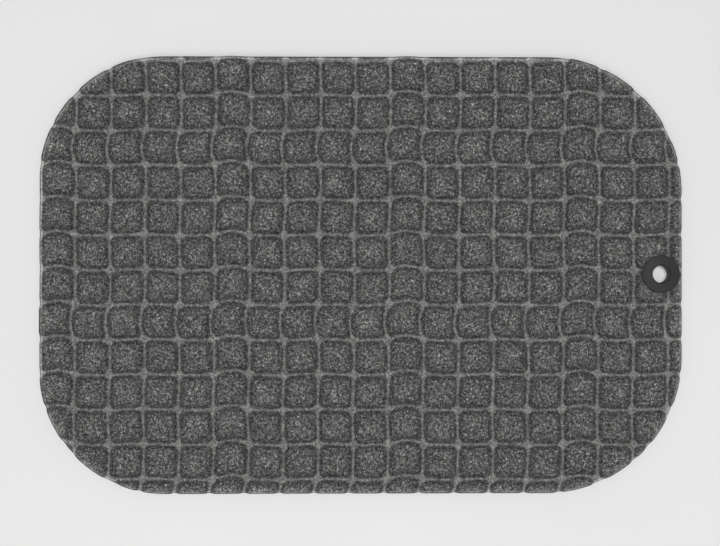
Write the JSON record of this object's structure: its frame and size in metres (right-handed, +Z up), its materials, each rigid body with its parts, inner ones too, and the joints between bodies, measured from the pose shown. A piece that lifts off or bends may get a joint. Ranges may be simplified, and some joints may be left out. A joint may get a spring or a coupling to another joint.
{
  "type": "anti-fatigue mat",
  "caption": "Rounded rectangular standing mat with a grey raised-pad fabric face, a foam core, a rubber backing and a black hanging grommet at one short side.",
  "frame": {"origin": "centre of the mat's outline, on the plane of its underside", "axes": "+X along the length towards the grommet, +Y across the width, +Z up out of the fabric face"},
  "size_m": [0.812, 0.5532, 0.0198],
  "materials": {
    "face_fabric": "heathered needle-punched pile",
    "tread_rubber": "matte",
    "cushion_core": "closed-cell foam",
    "backing_sheet": "fine-grained, non-slip",
    "grommet": "matte"
  },
  "bodies": {
    "root": {"face_fabric": "face_fabric", "tread_rubber": "tread_rubber", "cushion_core": "cushion_core", "backing_sheet": "backing_sheet", "grommet_upper": "grommet", "grommet_lower": "grommet"}
  },
  "joints": []
}
